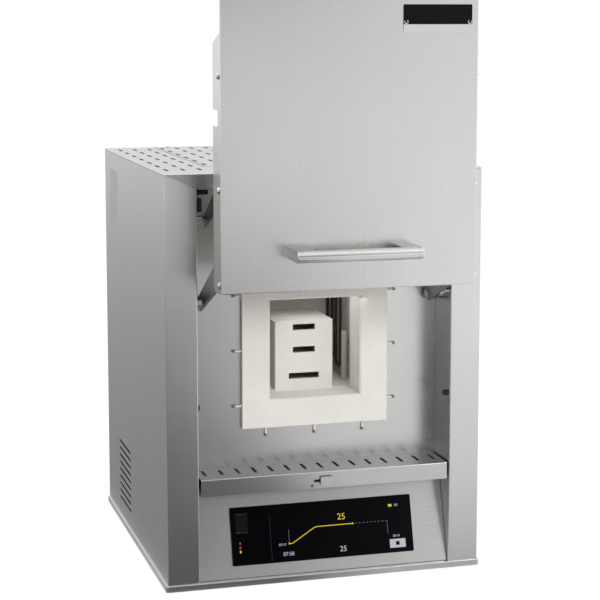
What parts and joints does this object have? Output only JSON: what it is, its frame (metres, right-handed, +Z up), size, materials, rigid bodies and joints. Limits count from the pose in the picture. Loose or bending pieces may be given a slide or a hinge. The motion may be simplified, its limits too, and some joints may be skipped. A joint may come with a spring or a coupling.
{
  "type": "high-temperature furnace",
  "caption": "Bench furnace with a parallel lift door on paired levers, a fibre muffle with side elements and stacked trays, an air slider, a sloped display, a rear fan and a flue stub.",
  "frame": {"origin": "middle of the underside of the whole furnace's bounding box, on the bench, door open", "axes": "+X to the furnace's right as it is faced, +Y to its back, +Z up"},
  "size_m": [0.39, 0.548, 0.692],
  "materials": {
    "casing_steel": "brushed",
    "inner_sheet": "galvanised",
    "rubber_black": "matte",
    "display_glass": "gloss",
    "black_plastic": "matte",
    "gloss_black": "gloss",
    "board_green": "satin",
    "muffle_fibre": "matte",
    "backup_fibre": "matte",
    "element_silicide": "satin",
    "white_ceramic": "satin",
    "tray_ceramic": "matte",
    "strap_aluminium": "braided",
    "dark_wire": "matte",
    "handle_steel": "satin",
    "hardware_steel": "turned",
    "lever_steel": "pressed",
    "spring_steel": "drawn",
    "guard_chrome": "polished",
    "core_iron": "varnished",
    "sink_aluminium": "extruded",
    "grey_plastic": "matte"
  },
  "bodies": {
    "casing": {"base_plate": "casing_steel", "left_side_panel": "casing_steel", "right_side_panel": "casing_steel", "front_plate": "casing_steel", "top_cover": "casing_steel", "top_lid": "casing_steel", "rear_panel": "casing_steel", "shelf": "casing_steel", "control_panel": "casing_steel", "exhaust_stub": "casing_steel", "inner_casing": "inner_sheet", "mid_deck": "inner_sheet", "feet": "rubber_black", "door_buffers": "rubber_black", "display_glass": "display_glass", "display_module": "black_plastic", "door_sensor": "black_plastic", "fan_frame": "black_plastic", "power_inlet": "black_plastic", "controller_board": "board_green", "muffle_collar": "muffle_fibre", "chamber_floor": "muffle_fibre", "chamber_sides": "muffle_fibre", "chamber_rear": "muffle_fibre", "chamber_roof": "muffle_fibre", "backup_insulation": "backup_fibre", "heating_elements_left": "element_silicide", "heating_elements_right": "element_silicide", "element_holders": "white_ceramic", "element_guards": "white_ceramic", "thermocouple": "white_ceramic", "anchor_pins": "white_ceramic", "saggar_bottom": "tray_ceramic", "saggar_middle": "tray_ceramic", "saggar_top": "tray_ceramic", "saggar_lid": "tray_ceramic", "element_straps": "strap_aluminium", "anchor_tips": "dark_wire", "pivot_pins": "hardware_steel", "spring_studs": "hardware_steel", "casing_screws": "hardware_steel", "torsion_springs": "spring_steel", "fan_guard": "guard_chrome", "transformer": "core_iron", "power_controller": "sink_aluminium", "contactor": "grey_plastic"},
    "lower_levers": {"lower_levers": "lever_steel"},
    "upper_levers": {"upper_levers": "lever_steel"},
    "air_slider": {"air_slider": "casing_steel"},
    "usb_flap": {"usb_flap": "gloss_black"},
    "mains_rocker": {"mains_rocker": "gloss_black"},
    "fan_rotor": {"fan_rotor": "black_plastic"},
    "door": {"door_panel": "casing_steel", "door_pan": "inner_sheet", "door_plug": "muffle_fibre", "handle_bar": "handle_steel", "handle_brackets": "handle_steel", "nameplate": "gloss_black", "door_screws": "hardware_steel", "door_pins": "hardware_steel"}
  },
  "joints": [
    {"name": "door_lift", "type": "hinge", "parent": "casing", "child": "lower_levers", "pos_m": [0, -0.097, 0.336], "axis": [1, 0, 0], "range_deg": [0, 107.4]},
    {"name": "upper_lever_turn", "type": "hinge", "parent": "casing", "child": "upper_levers", "pos_m": [0, -0.097, 0.434], "axis": [1, 0, 0], "range_deg": [0, 107.5]},
    {"name": "door_pivot", "type": "hinge", "parent": "lower_levers", "child": "door", "pos_m": [0, -0.225, 0.41286], "axis": [1, 0, 0], "range_deg": [-107.5, 0]},
    {"name": "air_slide", "type": "slide", "parent": "casing", "child": "air_slider", "axis": [1, 0, 0], "range_m": [-0.01, 0]},
    {"name": "flap_hinge", "type": "hinge", "parent": "casing", "child": "usb_flap", "pos_m": [-0.1067, -0.12137, 0.07419], "axis": [0, -0.2667, -0.9638], "range_deg": [0, 95]},
    {"name": "rocker_tilt", "type": "hinge", "parent": "casing", "child": "mains_rocker", "pos_m": [-0.102, 0.259, 0.06], "axis": [1, 0, 0], "range_deg": [0, 18]},
    {"name": "fan_spin", "type": "hinge", "parent": "casing", "child": "fan_rotor", "pos_m": [0.11, 0.2465, 0.066], "axis": [0, 1, 0], "continuous": true}
  ],
  "couplings": [
    {"joint": "upper_lever_turn", "follows": "door_lift", "ratio": 1},
    {"joint": "door_pivot", "follows": "door_lift", "ratio": -1}
  ]
}
